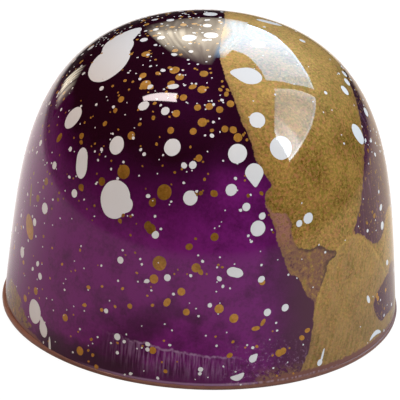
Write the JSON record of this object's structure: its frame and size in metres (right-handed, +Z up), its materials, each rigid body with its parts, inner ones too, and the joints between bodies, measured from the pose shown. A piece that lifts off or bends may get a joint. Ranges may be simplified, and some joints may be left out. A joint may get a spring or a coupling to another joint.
{
  "type": "chocolate bonbon",
  "caption": "Moulded chocolate bonbon: a tall round dome of glossy painted chocolate on a thin plain chocolate foot.",
  "frame": {"origin": "centre of the flat underside that the bonbon rests on", "axes": "+Z up, along the axis that the dome is turned about; -Y is the front, with the gold swath right of it"},
  "size_m": [0.0303, 0.0302, 0.0224],
  "materials": {
    "painted_cocoa_butter": "glossy dark purple cocoa butter with a gold swath and a white and gold splatter",
    "plain_chocolate": "satin milk chocolate, scraped level underneath"
  },
  "bodies": {
    "root": {"painted_shell": "painted_cocoa_butter", "chocolate_foot": "plain_chocolate"}
  },
  "joints": []
}
